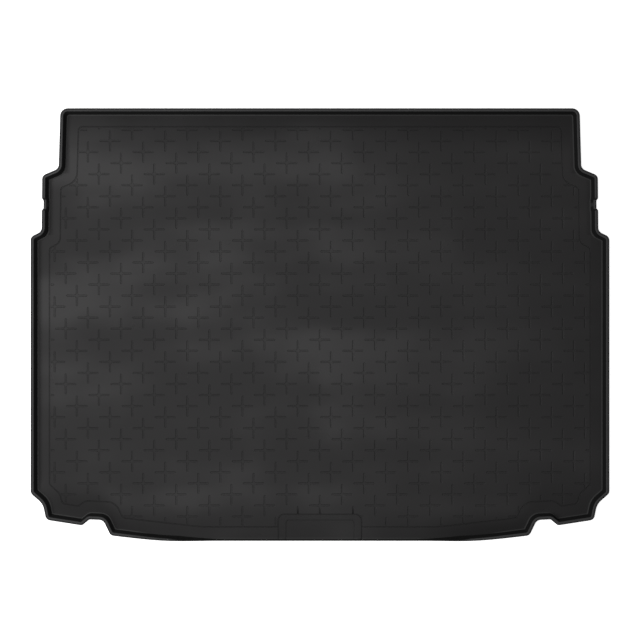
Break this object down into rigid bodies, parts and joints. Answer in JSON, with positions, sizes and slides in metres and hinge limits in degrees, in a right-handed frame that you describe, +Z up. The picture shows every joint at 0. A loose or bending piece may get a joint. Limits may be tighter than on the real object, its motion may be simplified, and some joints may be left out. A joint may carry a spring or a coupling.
{
  "type": "car boot liner",
  "caption": "Shallow one-piece moulded liner for a car boot, with a low rim, stepped sides, a cross-patterned anti-slip floor and a rim that dies away at the tailgate edge.",
  "frame": {"origin": "middle of the bounding box, on the plane the liner lies on", "axes": "+X across the car to its longest extent, +Y forward to the rear seats, +Z up out of the boot floor"},
  "size_m": [1.0436, 0.7828, 0.025],
  "materials": {
    "liner_rubber": "matte moulded rubber with a fine grain"
  },
  "bodies": {
    "root": {"boot_liner": "liner_rubber"}
  },
  "joints": []
}
